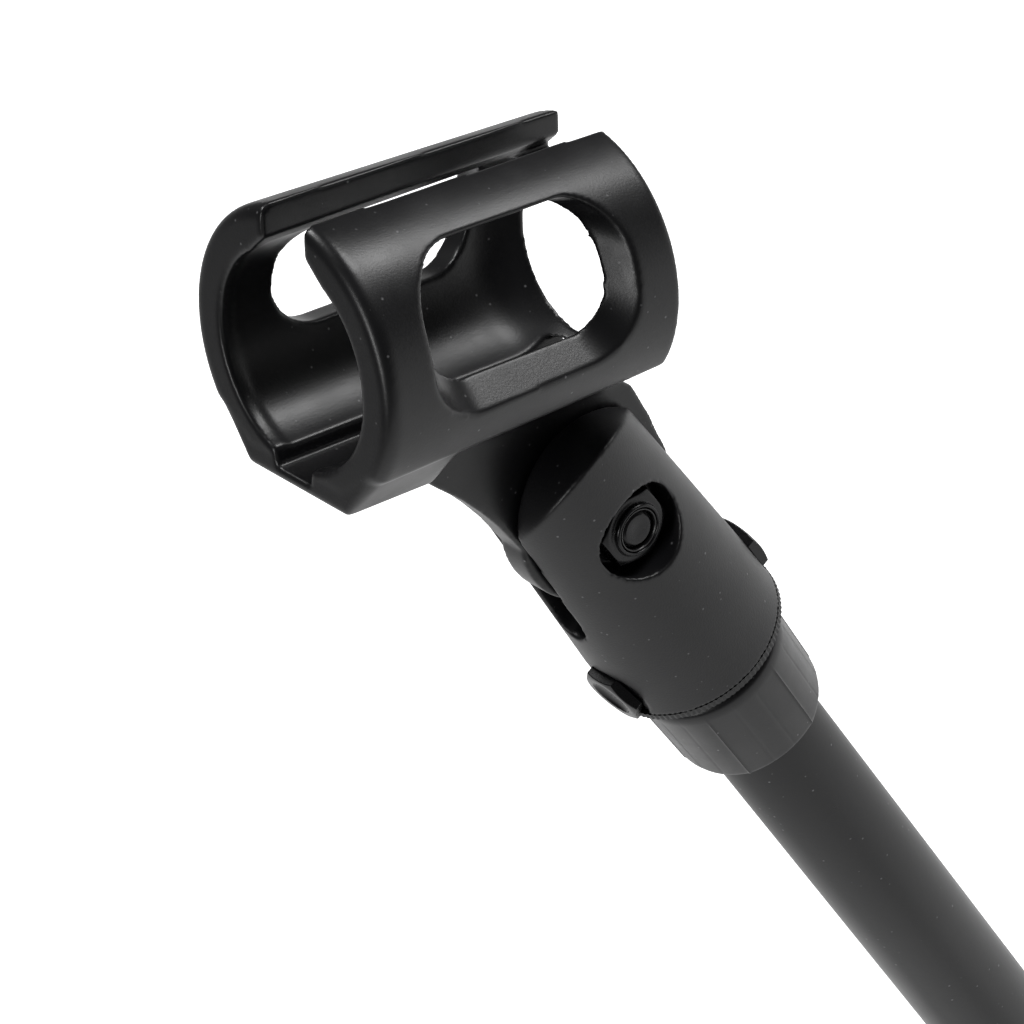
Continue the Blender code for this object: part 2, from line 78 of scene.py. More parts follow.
def moulded(name, look):
    # injection-moulded plastic: spark-eroded grain, handling marks, a little dust
    material = bpy.data.materials.new(name)
    material.use_nodes = True
    shader = material.node_tree.nodes["Principled BSDF"]
    shader.inputs["IOR"].default_value = look["ior"]
    place = addNode(material, "ShaderNodeTexCoord").outputs["Object"]
    grain = addNode(material, "ShaderNodeTexNoise",
                    {"Scale": 1 / (look["grain"] * mm), "Detail": 3.0}, {"Vector": place})
    rubbed = addNode(material, "ShaderNodeTexNoise",
                     {"Scale": 1 / (look["patch"] * mm), "Detail": 6.0, "Roughness": 0.6},
                     {"Vector": place})
    gloss = addNode(material, "ShaderNodeMapRange",
                    {"From Min": 0.3, "From Max": 0.7,
                     "To Min": look["roughness"] - look["wear"],
                     "To Max": look["roughness"] + look["wear"]},
                    {"Value": rubbed.outputs["Fac"]})
    specks = addNode(material, "ShaderNodeTexVoronoi",
                     {"Scale": 1 / (look["speckSpacing"] * mm), "Randomness": 1.0},
                     {"Vector": place})
    speckMask = addNode(material, "ShaderNodeMapRange",
                        {"From Min": 0.0, "From Max": look["speckSize"],
                         "To Min": look["dust"], "To Max": 0.0},
                        {"Value": specks.outputs["Distance"]})
    thin = addNode(material, "ShaderNodeTexNoise",
                   {"Scale": 1 / (3.1 * mm), "Detail": 2.0}, {"Vector": place})
    thinned = addNode(material, "ShaderNodeMapRange", {"From Min": 0.44, "From Max": 0.52},
                      {"Value": thin.outputs["Fac"]})
    dust = addNode(material, "ShaderNodeMath", {"operation": "MULTIPLY"},
                   {0: speckMask.outputs["Result"], 1: thinned.outputs["Result"]})
    colour = addNode(material, "ShaderNodeMix",
                     {"data_type": "RGBA", "A": hexColour(look["colour"]),
                      "B": hexColour(look["dustColour"])},
                     {"Factor": dust.outputs["Value"]})
    bump = addNode(material, "ShaderNodeBump",
                   {"Strength": look["strength"], "Distance": look["depth"] * mm},
                   {"Height": grain.outputs["Fac"]})
    link = material.node_tree.links.new
    link(colour.outputs[2], shader.inputs["Base Color"])
    link(gloss.outputs["Result"], shader.inputs["Roughness"])
    link(bump.outputs["Normal"], shader.inputs["Normal"])
    return material


def metal(name, look):
    # steel with a thin surface treatment: soft mottling and fine turning marks
    material = bpy.data.materials.new(name)
    material.use_nodes = True
    shader = material.node_tree.nodes["Principled BSDF"]
    shader.inputs["Metallic"].default_value = look["metallic"]
    place = addNode(material, "ShaderNodeTexCoord").outputs["Object"]
    mottle = addNode(material, "ShaderNodeTexNoise",
                     {"Scale": 1 / (look["mottle"] * mm), "Detail": 5.0}, {"Vector": place})
    colour = addNode(material, "ShaderNodeMix",
                     {"data_type": "RGBA", "A": hexColour(look["dark"]),
                      "B": hexColour(look["light"])},
                     {"Factor": mottle.outputs["Fac"]})
    gloss = addNode(material, "ShaderNodeMapRange",
                    {"To Min": look["roughness"] - 0.08, "To Max": look["roughness"] + 0.08},
                    {"Value": mottle.outputs["Fac"]})
    fine = addNode(material, "ShaderNodeTexNoise",
                   {"Scale": 1 / (0.12 * mm), "Detail": 2.0}, {"Vector": place})
    bump = addNode(material, "ShaderNodeBump", {"Strength": 0.3, "Distance": 0.01 * mm},
                   {"Height": fine.outputs["Fac"]})
    link = material.node_tree.links.new
    link(colour.outputs[2], shader.inputs["Base Color"])
    link(gloss.outputs["Result"], shader.inputs["Roughness"])
    link(bump.outputs["Normal"], shader.inputs["Normal"])
    return material


plastics = {
    # black ABS from a textured mould: a grey bloom where light skims it
    "satinAbs": {"colour": "111113", "roughness": 0.34, "wear": 0.05, "grain": 0.3,
                 "depth": 0.02, "strength": 0.6, "patch": 9.0},
    # the end face comes from a coarser, matt stretch of the mould
    "grainedAbs": {"colour": "18181B", "roughness": 0.5, "wear": 0.03, "grain": 0.5,
                   "depth": 0.2, "strength": 1.0, "patch": 8.0},
    # the bore comes off a polished core; its colour is painted darker than the outside, as shade
    # inside the clip
    "polishedAbsPaintedShade": {"colour": "080809", "roughness": 0.1, "wear": 0.03, "grain": 0.9,
                    "depth": 0.012, "strength": 0.25, "patch": 6.0},
    "barrelAbs": {"colour": "121214", "roughness": 0.38, "wear": 0.04, "grain": 0.28,
                  "depth": 0.025, "strength": 0.7, "patch": 10.0},
    "ringNylon": {"colour": "141416", "roughness": 0.33, "wear": 0.05, "grain": 0.5,
                  "depth": 0.01, "strength": 0.4, "patch": 5.0},
    "nylonBlack": {"colour": "0E0E0F", "roughness": 0.25, "wear": 0.04, "grain": 0.4,
                   "depth": 0.008, "strength": 0.3, "patch": 3.0},
    "plugPolythene": {"colour": "161617", "roughness": 0.5, "wear": 0.05, "grain": 0.5,
                      "depth": 0.015, "strength": 0.4, "patch": 5.0},
    # powder coat flows into a soft orange peel
    "powderCoat": {"colour": "0F0F11", "roughness": 0.3, "wear": 0.03, "grain": 0.7,
                   "depth": 0.012, "strength": 0.45, "patch": 14.0},
    "redFibre": {"colour": "5A2A1C", "roughness": 0.85, "wear": 0.04, "grain": 0.3,
                 "depth": 0.03, "strength": 0.7, "patch": 3.0},
}
metals = {
    "blackOxide": {"dark": "101011", "light": "1C1C1E", "roughness": 0.26, "mottle": 1.5,
                   "metallic": 0.35},
    "zincPlate": {"dark": "8C8D8C", "light": "B4B4B0", "roughness": 0.32, "mottle": 2.0,
                  "metallic": 1.0},
}
common = {"ior": 1.5, "speckSpacing": 1.9, "speckSize": 0.11, "dust": 0.8,
          "dustColour": "8E8E90"}
finishes = {name: moulded(name, {**common, **look}) for name, look in plastics.items()}
finishes.update({name: metal(name, look) for name, look in metals.items()})
print("finishes made")


# shaping helpers take millimetres
def arc(centre, radius, start, end, steps):
    angles = [math.radians(start + (end - start) * i / steps) for i in range(steps + 1)]
    return [(centre[0] + radius * math.cos(a), centre[1] + radius * math.sin(a)) for a in angles]


def roundedBox(low, high, bottom, top, corners, steps=16):
    points = []
    places = ((high, top, -1, -1), (low, top, 1, -1), (low, bottom, 1, 1), (high, bottom, -1, 1))
    for i, (corner, (x, y, stepX, stepY)) in enumerate(zip(corners, places)):
        points += arc((x + stepX * corner, y + stepY * corner), corner,
                      i * 90, i * 90 + 90, steps)
    return points


def faceFrom(bm, points):
    return bm.faces.new([bm.verts.new(Vector(point) * mm) for point in points])


def pull(bm, face, vector):
    grown = bmesh.ops.extrude_face_region(bm, geom=[face])["geom"]
    verts = [item for item in grown if isinstance(item, bmesh.types.BMVert)]
    bmesh.ops.translate(bm, verts=verts, vec=Vector(vector) * mm)


def ringsToSolid(rings):
    bm = bmesh.new()
    loops = []
    for ring in rings:
        verts = [bm.verts.new(Vector(point) * mm) for point in ring]
        loops.append([bm.edges.new((a, b)) for a, b in zip(verts, verts[1:] + verts[:1])])
    for lower, upper in zip(loops, loops[1:]):
        bmesh.ops.bridge_loops(bm, edges=lower + upper)
    for loop in (loops[0], loops[-1]):
        bmesh.ops.contextual_create(bm, geom=loop)
    return closed(bm)


def slab(points, vector):
    bm = bmesh.new()
    pull(bm, faceFrom(bm, points), vector)
    return closed(bm)


def cylinder(radius, low, high, sides=128, turn=None):
    bm = bmesh.new()
    made = bmesh.ops.create_circle(bm, cap_ends=True, segments=sides, radius=radius * mm)
    bmesh.ops.translate(bm, verts=made["verts"], vec=(0, 0, low * mm))
    pull(bm, bm.faces[:][0], (0, 0, high - low))
    if turn:
        bmesh.ops.rotate(bm, verts=bm.verts[:], matrix=turn)
    return closed(bm)


def turnedSolid(profile, sides=160, turn=None):
    bm = bmesh.new()
    verts = [bm.verts.new((radius * mm, 0, z * mm)) for radius, z in profile]
    edges = [bm.edges.new(pair) for pair in zip(verts, verts[1:] + verts[:1])]
    bmesh.ops.spin(bm, geom=verts + edges, cent=(0, 0, 0), axis=(0, 0, 1),
                   angle=math.tau, steps=sides, use_merge=True)
    if turn:
        bmesh.ops.rotate(bm, verts=bm.verts[:], matrix=turn)
    return closed(bm)


def closed(bm):
    bmesh.ops.remove_doubles(bm, verts=bm.verts[:], dist=0.001 * mm)
    bmesh.ops.recalc_face_normals(bm, faces=bm.faces[:])
    return bm


alongY = {1: Matrix.Rotation(-math.pi / 2, 3, "X"), -1: Matrix.Rotation(math.pi / 2, 3, "X")}
alongX = {1: Matrix.Rotation(math.pi / 2, 3, "Y"), -1: Matrix.Rotation(-math.pi / 2, 3, "Y")}


def newObject(name, bm):
    mesh = bpy.data.meshes.new(name)
    bm.to_mesh(mesh)
    bm.free()
    piece = bpy.data.objects.new(name, mesh)
    bpy.context.scene.collection.objects.link(piece)
    return piece


def settle(piece):
    # keeps what the modifiers make, and drops them
    graph = bpy.context.evaluated_depsgraph_get()
    mesh = bpy.data.meshes.new_from_object(piece.evaluated_get(graph))
    piece.modifiers.clear()
    old = piece.data
    piece.data = mesh
    bpy.data.meshes.remove(old)


def carve(piece, steps):
    # joins or cuts each tool in turn
    tools = []
    for operation, bm in steps:
        tool = newObject(piece.name + "Tool", bm)
        modifier = piece.modifiers.new(operation, "BOOLEAN")
        modifier.operation = operation
        modifier.solver = "EXACT"
        modifier.object = tool
        tools.append(tool)
    settle(piece)
    for tool in tools:
        bpy.data.objects.remove(tool)


def smoothen(piece, passes):
    bm = bmesh.new()
    bm.from_mesh(piece.data)
    for _ in range(passes):
        bmesh.ops.smooth_vert(bm, verts=bm.verts[:], factor=0.5,
                              use_axis_x=True, use_axis_y=True, use_axis_z=True)
    bm.to_mesh(piece.data)
    bm.free()


def melt(piece, voxel, polish):
    # an even skin, drawn back to the true surfaces, its edges left barely round
    exact = bpy.data.objects.new(piece.name + "Exact", piece.data.copy())
    bpy.context.scene.collection.objects.link(exact)
    modifier = piece.modifiers.new("skin", "REMESH")
    modifier.mode = "VOXEL"
    modifier.voxel_size = voxel * mm
    settle(piece)
    smoothen(piece, 2)
    modifier = piece.modifiers.new("true", "SHRINKWRAP")
    modifier.target = exact
    modifier.wrap_method = "NEAREST_SURFACEPOINT"
    settle(piece)
    bpy.data.objects.remove(exact)
    smoothen(piece, polish)


def softenEdges(piece, width, segments=3, angle=30):
    modifier = piece.modifiers.new("edges", "BEVEL")
    modifier.width = width * mm
    modifier.segments = segments
    modifier.limit_method = "ANGLE"
    modifier.angle_limit = math.radians(angle)
    modifier.use_clamp_overlap = True
    settle(piece)


def install(piece, place, body, materials, replaced, sharp=None):
    piece.data.transform(place)
    piece.data.materials.clear()
    for material in materials:
        piece.data.materials.append(finishes[material])
    piece.data.shade_smooth()
    if sharp:
        piece.data.set_sharp_from_angle(angle=math.radians(sharp))
    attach(piece, body)
    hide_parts(*replaced)


clip = {
    "length": 44.0, "rear": -0.5, "axis": 34.1, "frontRadius": 18.7, "rearRadius": 17.7,
    "frontRound": 1.7, "bore": 13.7, "mouthRadius": 13.4, "mouthLength": 1.7,
    "lipRadius": 11.0, "lipRun": 7.5, "gapHalf": 3.9, "footHalf": 8.8, "soleHalf": 9.1,
    "footDepth": 16.9, "footStart": 31.0, "flankDepth": 13.8, "flankAngle": -33.0,
    "neckHalf": 2.3, "tongueRadius": 12.2, "pocketRadius": 8.3, "pocketHalf": 1.6,
    "boltHole": 2.8, "reliefHalf": 6.6, "reliefLow": 11.8, "reliefHigh": 14.2,
    "groove": [(-3.2, -12), (4.2, -12), (3.6, -15.1), (-2.6, -15.1)],
    "rearShrink": 0.985, "roundShare": 0.9, "skinRadius": 18.2, "toolReach": 24.0,
    "toolStep": 1.9, "voxel": 0.365, "polish": 3,
}
# ranges of run and height, then corner radii: front top, rear top, rear low, front low
windows = {
    -1: {"outside": (5.4, 36.8, -4.8, 14.5), "outsideCorners": (7.5, 7.5, 7.5, 7.5),
         "inside": (8.1, 34.5, -1.6, 12.4), "insideCorners": (5.5, 4.0, 5.5, 5.5)},
    1: {"outside": (5.6, 36.6, -4.8, 14.5), "outsideCorners": (7.5, 7.0, 7.0, 7.5),
        "inside": (6.4, 36.0, -3.9, 12.2), "insideCorners": (6.5, 6.0, 6.0, 6.5)},
}


def clipPoint(run, side, height):
    return (-run, side, clip["axis"] + height)


def clipBlank():
    # round jaws over two straight flanks, drawn from the rear to the mouth
    low = clip["flankAngle"]
    outline = arc((0, 0), clip["rearRadius"], low, 180 - low, 160)
    outline += [(-clip["footHalf"], -clip["flankDepth"]), (clip["footHalf"], -clip["flankDepth"])]
    rear = clip["rear"]
    straight = clip["length"] - clip["frontRound"]
    widest = clip["frontRadius"] / clip["rearRadius"]
    runs = [(rear, clip["rearShrink"]), (rear + 0.3, 1.0)]
    runs += [(straight * i / 4, 1 + (widest - 1) * i / 4) for i in range(1, 5)]
    steps = 8
    for i in range(1, steps + 1):
        turn = math.pi / 2 * i / steps
        inset = clip["frontRound"] * (1 - math.cos(turn)) / clip["rearRadius"]
        runs.append((straight + clip["frontRound"] * math.sin(turn),
                     widest - inset * clip["roundShare"]))
    return ringsToSolid([[clipPoint(run, side * grow, height * grow) for side, height in outline]
                         for run, grow in runs])


def neckBlank():
    front = [(13.2, -0.2), (15.4, 2.7), (18.0, 5.6), (21.0, 8.5), (24.4, 11.2), (27.8, 14.0),
             (31.0, 17.0), (31.0, 19.5)]
    rear = [(0.6, 19.5), (-0.4, 17.8), (-3.2, 16.9), (-6.0, 14.9), (-8.8, 9.9)]
    outline = front + rear + arc((0, 0), clip["tongueRadius"], 147, 352, 90)
    half = clip["neckHalf"]
    return slab([(-run, -half, height) for run, height in outline], (0, 2 * half, 0))


def flareBlank():
    # the neck spreads in a hollow curve to the clip's flanks
    low = 15.0
    high = clip["axis"] - clip["flankDepth"] + 0.1
    spread = clip["footHalf"] - clip["neckHalf"]
    steps = 24
    rings = []
    for i in range(steps + 2):
        share = min(1.0, i / steps)
        height = low + (high - low) * share + (1.5 if i > steps else 0.0)
        half = clip["neckHalf"] + spread * (1 - math.sqrt(1 - share ** 2)) - 0.02
        front = min(28.6 + (height - low) * 1.17, clip["footStart"])
        rear = min(0.0, 5.1 * ((height - low) / 2.4) ** 2 - 5.1) + 0.03
        rings.append([(-front, -half, height), (-front, half, height),
                      (-rear, half, height), (-rear, -half, height)])
    return ringsToSolid(rings)


def footBlank():
    # flat sole between leaning sides, under the wide end only
    sole, half = -clip["footDepth"], clip["soleHalf"]
    start, end = clip["footStart"], clip["length"]
    rings = []
    lean = math.radians(clip["flankAngle"])
    for run, radius, reach, depth in (
            (start - 3.0, 16.2, half - 0.6, -13.0), (start, 18.2, half, sole),
            (end - 1.3, 18.3, half, sole), (end - 0.5, 17.9, half + 0.1, sole + 0.2),
            (end - 0.05, 17.1, half + 0.3, sole + 0.7)):
        shoulder = (radius * math.cos(lean), radius * math.sin(lean))
        right = [(12.5, -8.0), shoulder, (reach, depth)]
        left = [(-side, height) for side, height in reversed(right)]
        rings.append([clipPoint(run, side, height) for side, height in right + left])
    return ringsToSolid(rings)


def boreTool():
    # narrows to a lip at the rear, and a little again at the mouth
    rear, end = clip["rear"], clip["length"]
    wide, lip = clip["bore"], clip["lipRadius"]
    narrow = end - clip["mouthLength"]
    profile = [(lip, rear - 2)]
    for i in range(9):
        share = i / 8
        profile.append((lip + (wide - lip) * math.sin(share * math.pi / 2),
                        rear + clip["lipRun"] * share))
    profile += [(wide, narrow - 1.0), (clip["mouthRadius"], narrow + 0.2),
                (clip["mouthRadius"] + 0.1, end + 2)]
    rings = []
    for radius, run in profile:
        rings.append([clipPoint(run, side, height)
                      for side, height in arc((0, 0), radius, 0, 360, 160)[:-1]])
    return ringsToSolid(rings)


def throughTool(points):
    # a shape drawn across the clip and pulled its whole length
    reach = clip["length"] + 4
    return slab([clipPoint(-2, side, height) for side, height in points], (-reach, 0, 0))


def windowTool(side):
    # straight lines from the outline outside, through the one on the bore
    shape = windows[side]
    outside = roundedBox(*shape["outside"], shape["outsideCorners"])
    inside = roundedBox(*shape["inside"], shape["insideCorners"])
    distances = [clip["toolReach"] - clip["toolStep"] * i for i in range(11)]
    rings = [[] for _ in distances]
    for (outRun, outHeight), (inRun, inHeight) in zip(outside, inside):
        outSide = math.sqrt(clip["skinRadius"] ** 2 - outHeight ** 2)
        inSide = math.sqrt(clip["bore"] ** 2 - inHeight ** 2)
        for ring, distance in zip(rings, distances):
            share = (distance - inSide) / (outSide - inSide)
            ring.append(clipPoint(inRun + share * (outRun - inRun), side * distance,
                                  inHeight + share * (outHeight - inHeight)))
    return ringsToSolid(rings)


def buildClip():
    body = newObject("clipBody", clipBlank())
    gap, relief = clip["gapHalf"], clip["reliefHalf"]
    low, high = clip["reliefLow"], clip["reliefHigh"]
    steps = [
        ("UNION", flareBlank()), ("UNION", footBlank()), ("UNION", neckBlank()),
        ("DIFFERENCE", boreTool()),
        ("DIFFERENCE", throughTool(clip["groove"])),
        ("DIFFERENCE", throughTool([(-relief, low), (relief, low), (gap, high), (gap, 22),
                                    (-gap, 22), (-gap, high)])),
        ("DIFFERENCE", windowTool(-1)), ("DIFFERENCE", windowTool(1)),
        ("DIFFERENCE", cylinder(clip["boltHole"], -5, 5, turn=alongY[1])),
    ]
    for side in (-1, 1):
        steps.append(("DIFFERENCE", cylinder(clip["pocketRadius"], clip["pocketHalf"], 6,
                                             turn=alongY[side])))
    carve(body, steps)
    melt(body, clip["voxel"], clip["polish"])
    finishClip(body)
    install(body, intoClip, "clip", ["satinAbs", "grainedAbs", "polishedAbsPaintedShade"],
            ["clip_shell"])


def finishClip(body):
    # which finish each patch of the mould had
    bore = (clip["bore"] + 0.4) * mm
    end = (clip["length"] - 0.25) * mm
    for face in body.data.polygons:
        middle = face.center
        height = middle.z - clip["axis"] * mm
        radial = math.hypot(middle.y, height)
        if -middle.x > end:
            face.material_index = 1
        elif radial < bore:
            # the bore takes the polished finish, whose darker colour is painted shade
            face.material_index = 2


buildClip()
print("clip made")


barrel = {
    "radius": 13.0, "taper": 0.047, "top": 46.5, "archRadius": 12.1, "archRise": 33.05,
    "hingeRise": 30.5, "slotHalf": 2.85, "slotFloor": 16.3, "counterbore": 6.2,
    "counterFloor": 5.4, "boltHole": 2.8, "insertHole": 10.5, "insertDepth": 11.7,
    "screwRise": 4.0, "screwSeat": 5.0, "seatDistance": 11.8, "screwHole": 2.2,
    "toothCount": 110, "toothHeight": 0.9, "toothDepth": 0.09,
    "voxel": 0.3, "polish": 2,
}


def barrelRadius(height):
    return barrel["radius"] - barrel["taper"] * height


def buildBarrel():
    top = barrel["top"]
    foot = barrel["toothHeight"]
    blank = [(0, foot), (barrelRadius(foot), foot), (barrelRadius(top), top), (0, top)]
    body = newObject("barrelBody", turnedSolid(blank, 192))
    rise = barrel["archRise"]
    arch = [(-14, -1), (14, -1), (14, rise)]
    arch += arc((0, rise), barrel["archRadius"], 0, 180, 120) + [(-14, rise)]
    half = barrel["slotHalf"]
    bend = barrel["slotFloor"] + half
    slot = [(-half, top + 2)] + arc((0, bend), half, 180, 360, 40) + [(half, top + 2)]
    steps = [
        ("INTERSECT", slab([(x, -15, z) for x, z in arch], (0, 30, 0))),
        ("DIFFERENCE", slab([(-15, y, z) for y, z in slot], (30, 0, 0))),
        ("DIFFERENCE", cylinder(barrel["insertHole"], -1, barrel["insertDepth"])),
    ]
    lift = Vector((0, 0, barrel["hingeRise"])) * mm
    for side in (-1, 1):
        bore = cylinder(barrel["counterbore"], barrel["counterFloor"], 15, turn=alongY[side])
        bmesh.ops.translate(bore, verts=bore.verts[:], vec=lift)
        steps.append(("DIFFERENCE", bore))
        for radius, start in ((barrel["screwSeat"], barrel["seatDistance"]),
                              (barrel["screwHole"], 7.0)):
            hole = cylinder(radius, start, 15, turn=alongX[side])
            bmesh.ops.translate(hole, verts=hole.verts[:], vec=(0, 0, barrel["screwRise"] * mm))
            steps.append(("DIFFERENCE", hole))
    hole = cylinder(barrel["boltHole"], -8, 8, turn=alongY[1])
    bmesh.ops.translate(hole, verts=hole.verts[:], vec=lift)
    steps.append(("DIFFERENCE", hole))
    carve(body, steps)
    melt(body, barrel["voxel"], barrel["polish"])
    install(body, intoBarrel, "swivel", ["barrelAbs"], ["swivel_barrel"])
    buildRimTeeth()


def buildRimTeeth():
    # the knurled band that the mould leaves round the rim
    count = barrel["toothCount"] * 4
    bm = bmesh.new()
    ring = bmesh.ops.create_circle(bm, segments=count, radius=1.0)["verts"]
    ring.sort(key=lambda vert: math.atan2(vert.co.y, vert.co.x))
    outer = barrelRadius(0)
    for i, vert in enumerate(ring):
        depth = barrel["toothDepth"] if i % 4 in (0, 1) else 0.0
        vert.co *= (outer - depth) * mm
    edges = bm.edges[:]
    heights = (0.0, 0.15, barrel["toothHeight"] - 0.15, barrel["toothHeight"] + 0.05)
    for lower, upper in zip(heights, heights[1:]):
        grown = bmesh.ops.extrude_edge_only(bm, edges=edges)["geom"]
        verts = [item for item in grown if isinstance(item, bmesh.types.BMVert)]
        edges = [item for item in grown if isinstance(item, bmesh.types.BMEdge)]
        bmesh.ops.translate(bm, verts=verts, vec=(0, 0, (upper - lower) * mm))
    bmesh.ops.solidify(bm, geom=bm.faces[:], thickness=1.8 * mm)
    teeth = newObject("barrelRim", closed(bm))
    install(teeth, intoBarrel, "swivel", ["barrelAbs"], ["swivel_barrel"], 40)


buildBarrel()
print("barrel made")


ring = {
    "radius": 10.9, "hollow": 0.24, "rib": 0.07, "ribWidth": 0.012, "valley": 0.05,
    "ribTurn": -76.0,
    "top": -2.6, "bottom": -18.7, "bore": 8.4, "recess": 9.3, "recessDepth": 5.0,
    "sides": 360,
}


def buildRing():
    bm = bmesh.new()
    loop = bmesh.ops.create_circle(bm, segments=ring["sides"], radius=mm)["verts"]
    edges = bm.edges[:]
    bmesh.ops.translate(bm, verts=loop, vec=(0, 0, ring["top"] * mm))
    # stations go down the outside and back up the bore
    top, bottom = ring["top"], ring["bottom"]
    outside = [(-1.15, top, 0.0), (-0.75, top - 0.1, 0.0), (-0.25, top - 0.45, 0.0),
               (0.0, top - 1.0, 0.05), (0.0, top - 2.4, 0.1), (0.0, top - 3.3, 1.0)]
    outside += [(-0.35, bottom + 0.9, 1.0), (-0.55, bottom + 0.3, 1.0), (-1.0, bottom, 1.0)]
    shoulder = top - ring["recessDepth"]
    inside = [(ring["bore"] + 0.4, bottom), (ring["bore"], bottom + 0.4), (ring["bore"], shoulder),
              (ring["recess"], shoulder), (ring["recess"], top - 0.2), (ring["recess"] + 0.2, top)]
    stations = [(ring["radius"] + inset, z, share) for inset, z, share in outside]
    stations += [(radius, z, 0.0) for radius, z in inside]
    for i, (radius, z, share) in enumerate(stations):
        if i:
            grown = bmesh.ops.extrude_edge_only(bm, edges=edges)["geom"]
            loop = [item for item in grown if isinstance(item, bmesh.types.BMVert)]
            edges = [item for item in grown if isinstance(item, bmesh.types.BMEdge)]
        for vert in loop:
            vert.co = ringPoint(math.atan2(vert.co.y, vert.co.x), radius, z, share)
    ends = [edge for edge in bm.edges if edge.is_boundary]
    bmesh.ops.bridge_loops(bm, edges=ends)
    body = newObject("lockRing", closed(bm))
    install(body, intoBarrel, "ring", ["ringNylon"], ["lock_ring"], 32)


def ringPoint(angle, radius, z, share):
    # six wide hollows between thin ribs, each with two faint lines down it
    turn = math.degrees(angle) - ring["ribTurn"]
    along = (turn / 60.0) % 1.0
    hollow = ring["hollow"] * math.sin(math.pi * along) ** 0.5
    rib = ring["rib"] * math.exp(-(min(along, 1 - along) / ring["ribWidth"]) ** 2)
    for line in (0.34, 0.66):
        hollow += ring["valley"] * math.exp(-((along - line) / ring["ribWidth"]) ** 2)
    reach = (radius + share * (rib - hollow)) * mm
    return Vector((reach * math.cos(angle), reach * math.sin(angle), z * mm))


buildRing()
print("lock ring made")


pivot = {
    "washerLow": 5.7, "washerHigh": 6.5, "seat": 6.8, "washerRadius": 5.4, "hole": 2.8,
    "nutFlats": 9.0, "nutTop": 9.4, "collarTop": 10.2, "collarRadius": 3.5,
    "boltRadius": 2.45, "boltEnd": 9.9, "headFace": 9.7,
}


def hexPrism(flats, low, high, chamfer, sides=6):
    # six flats with the corners turned off in a cone
    bm = cylinder(flats / math.sqrt(3), low, high, sides)
    prism = newObject("hexBlank", bm)
    corner = flats / math.sqrt(3)
    cone = [(0, low - 1), (corner + 1, low - 1), (corner + 1, high - chamfer - 0.55),
            (flats / 2 - 0.15, high), (0, high)]
    carve(prism, [("INTERSECT", turnedSolid(cone, 128))])
    bm = bmesh.new()
    bm.from_mesh(prism.data)
    bpy.data.objects.remove(prism)
    return bm


def buildPivot():
    nut = newObject("lockNut", hexPrism(pivot["nutFlats"], pivot["seat"], pivot["nutTop"], 0.35))
    collar = pivot["collarRadius"]
    top = pivot["collarTop"]
    low = pivot["nutTop"] - 0.6
    collarProfile = [(2.0, low), (collar, low), (collar, top - 0.35), (collar - 0.1, top - 0.12),
                     (collar - 0.25, top - 0.01), (collar - 0.38, top), (collar - 0.5, top - 0.1),
                     (collar - 0.55, top - 0.4), (2.0, top - 0.45)]
    carve(nut, [("UNION", turnedSolid(collarProfile, 128)),
                ("DIFFERENCE", cylinder(2.75, 0, 12)),
                ("DIFFERENCE", cylinder(2.95, pivot["nutTop"] - 0.5, 12))])
    melt(nut, 0.11, 3)
    nut.data.transform(alongY[-1].to_4x4())
    install(nut, intoPivot, "swivel", ["blackOxide"], ["pivot_nut"])

    low = pivot["nutTop"] - 0.2
    grip = [(2.6, low), (2.85, low), (2.85, top - 0.25), (2.8, top - 0.16), (2.66, top - 0.2),
            (2.6, top - 0.3)]
    gripRing = newObject("gripRing", turnedSolid(grip, 128, alongY[-1]))
    install(gripRing, intoPivot, "swivel", ["nylonBlack"], ["nut_nylon_ring"], 40)

    end = pivot["boltEnd"]
    shank = pivot["boltRadius"]
    profile = [(0, -end + 0.12), (0.9, -end + 0.1), (1.45, -end), (1.95, -end + 0.03)]
    z = -end + 0.45
    for _ in range(4):
        profile += [(shank, z), (shank, z + 0.12), (shank - 0.38, z + 0.45), (shank, z + 0.75)]
        z += 0.8
    profile += [(shank, z + 0.2), (shank, pivot["seat"] + 0.5), (0, pivot["seat"] + 0.5)]
    bolt = newObject("pivotBolt", turnedSolid(profile, 128))
    head = hexPrism(pivot["nutFlats"], pivot["seat"], pivot["headFace"], 0.3)
    socket = cylinder(2.3, pivot["headFace"] - 1.6, pivot["headFace"] + 1, 6)
    carve(bolt, [("UNION", head), ("DIFFERENCE", socket)])
    bolt.data.transform(alongY[1].to_4x4())
    install(bolt, intoPivot, "swivel", ["blackOxide"], ["pivot_bolt"], 30)
    softenEdges(bolt, 0.06, 2, 40)
    bolt.data.shade_smooth()

    low, high = pivot["washerLow"], pivot["washerHigh"]
    for side, node in ((-1, "nut_washer"), (1, "head_washer")):
        reach = pivot["washerRadius"]
        profile = [(pivot["hole"], low), (reach - 0.12, low), (reach, low + 0.12),
                   (reach, high - 0.2), (reach - 0.06, high - 0.06), (reach - 0.2, high),
                   (pivot["hole"] + 0.1, high), (pivot["hole"], high - 0.1)]
        name = "nutWasher" if side < 0 else "headWasher"
        washer = newObject(name, turnedSolid(profile, 128, alongY[side]))
        install(washer, intoPivot, "swivel", ["blackOxide"], [node], 40)


screw = {"flats": 8.0, "seat": 12.1, "face": 13.6, "shank": 1.9, "shankStart": 8.4}


